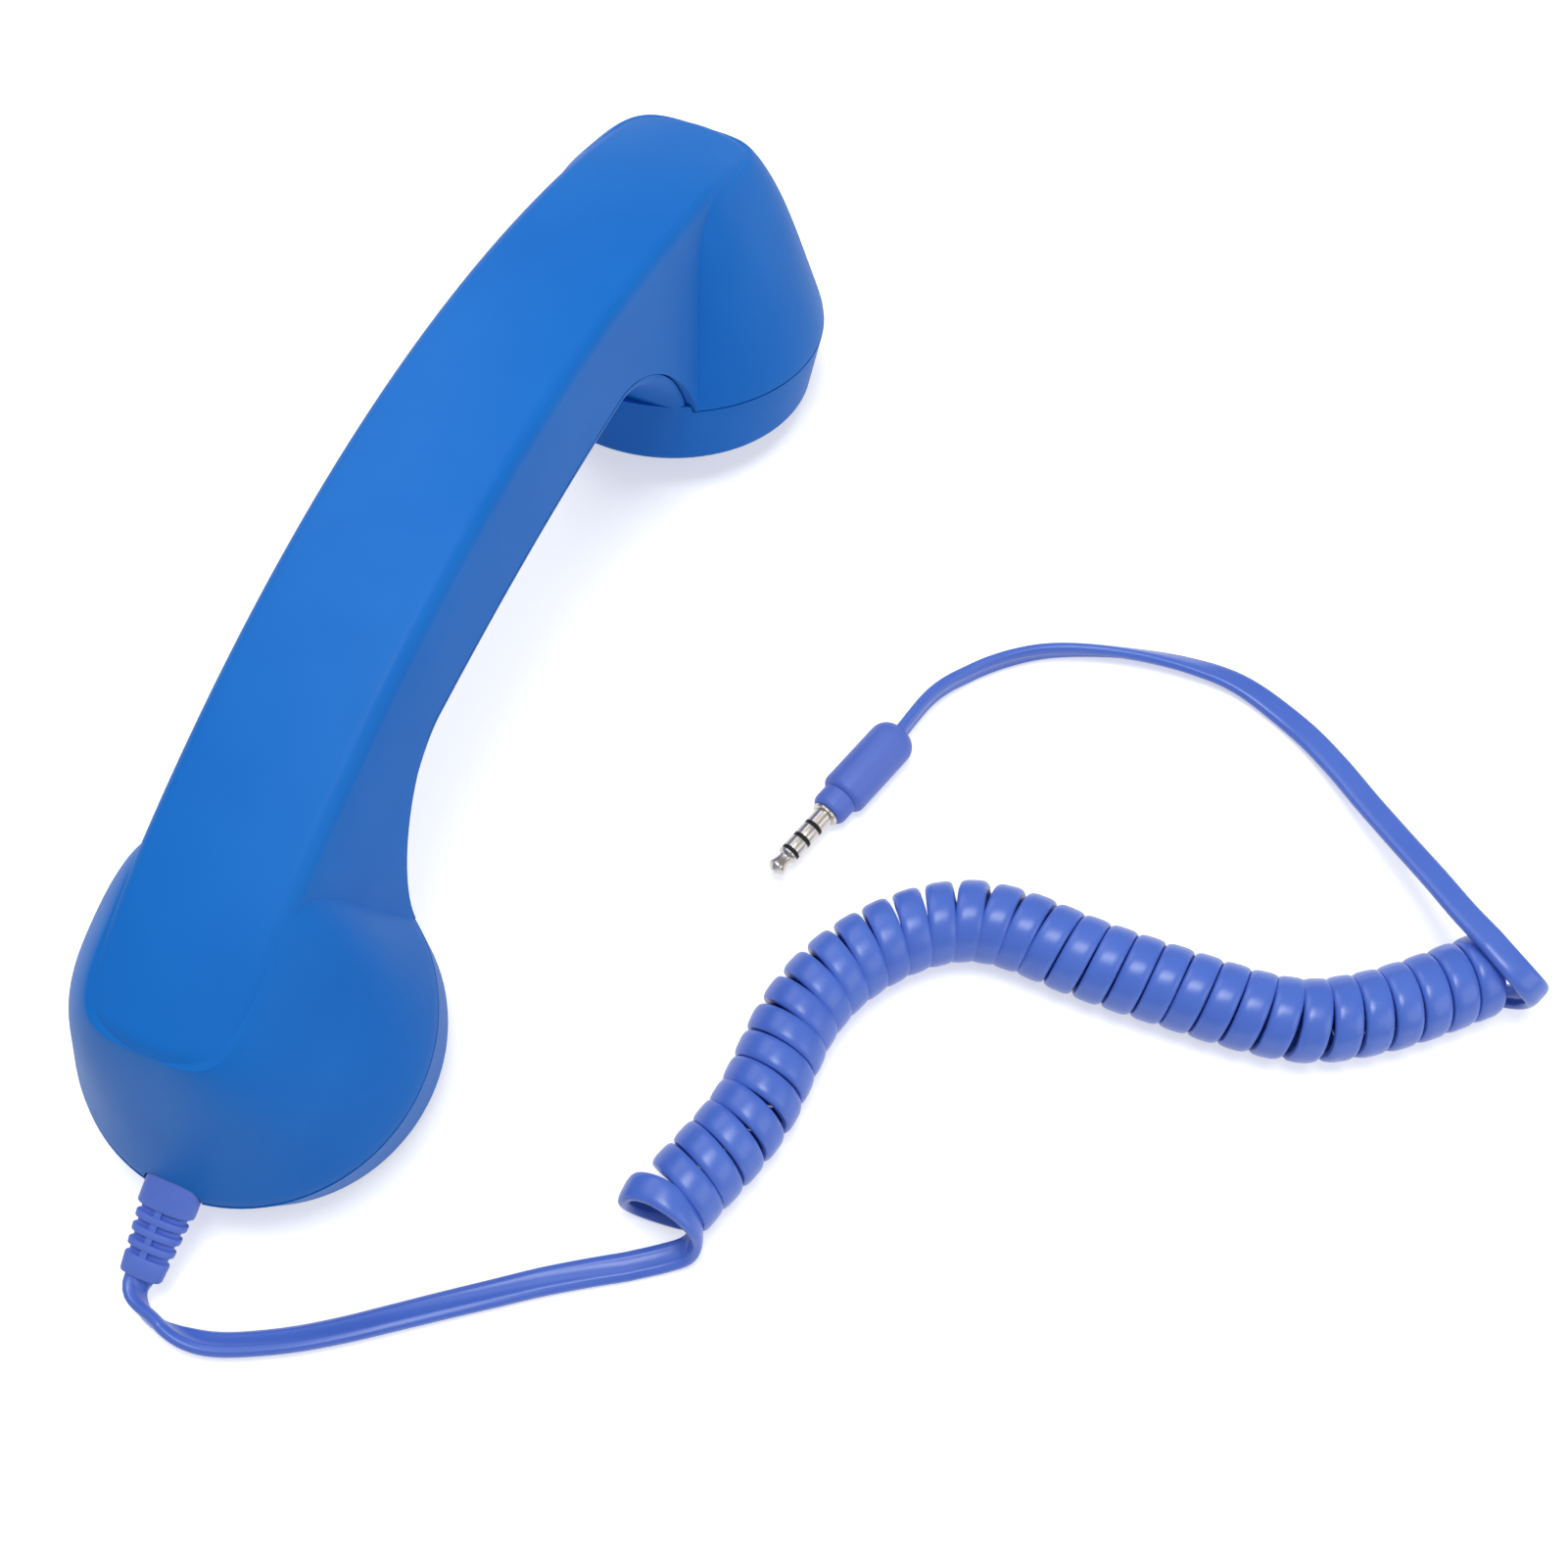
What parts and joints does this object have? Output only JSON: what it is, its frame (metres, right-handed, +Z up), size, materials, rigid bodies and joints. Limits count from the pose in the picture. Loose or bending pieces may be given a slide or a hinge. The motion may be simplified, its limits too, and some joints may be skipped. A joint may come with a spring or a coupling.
{
  "type": "telephone handset",
  "caption": "Arched telephone handset with ear and mouth cups, a curly flat cord with strain relief and a pin plug.",
  "frame": {"origin": "on the resting surface, below the middle of the handset's grip", "axes": "+Z up, +Y along the handset from the mouth cup to the ear cup, +X to the side on which the cord lies"},
  "size_m": [0.2133, 0.2284, 0.0715],
  "materials": {
    "shell_blue": "satin moulded plastic",
    "cord_blue": "smooth flexible cord skin",
    "relief_blue": "soft moulded rubber",
    "plug_blue": "soft moulded plug plastic",
    "plug_metal": "nickel plated",
    "insulator_black": "moulded plastic",
    "black_plastic": "moulded plastic",
    "steel": "zinc plated steel",
    "magnet": "sintered magnet",
    "copper_wire": "enamelled wire winding",
    "board_green": "coated board",
    "foam_black": "soft foam and rubber",
    "cone_film": "thin pressed film",
    "lead_skin": "thin lead skin"
  },
  "bodies": {
    "handset": {"upper_shell": "shell_blue", "lower_shell": "shell_blue", "tact_switch": "black_plastic", "button_board": "board_green", "grip_weight": "steel", "ear_shell_screw": "steel", "mouth_shell_screw": "steel", "ear_gasket": "foam_black", "speaker_basket": "black_plastic", "speaker_cone": "cone_film", "voice_coil": "copper_wire", "speaker_pole_plate": "steel", "speaker_magnet": "magnet", "speaker_yoke": "steel", "speaker_clamp": "black_plastic", "mic_boot": "foam_black", "mic_capsule": "steel", "speaker_lead": "lead_skin", "mic_lead": "lead_skin", "strain_relief": "relief_blue", "cord_lead": "cord_blue", "cord_coil": "cord_blue", "cord_plug_lead": "cord_blue", "plug_body": "plug_blue", "plug_collar": "plug_blue", "plug_sleeve": "plug_metal", "plug_ring_rear": "plug_metal", "plug_ring_front": "plug_metal", "plug_tip": "plug_metal", "plug_insulator_1": "insulator_black", "plug_insulator_2": "insulator_black", "plug_insulator_3": "insulator_black"},
    "button": {"answer_button": "shell_blue", "switch_plunger": "cone_film"}
  },
  "joints": [
    {"name": "button_press", "type": "slide", "parent": "handset", "child": "button", "axis": [0, 0, 1], "range_m": [0, 0.0005], "stiffness_N_per_m": 800}
  ]
}
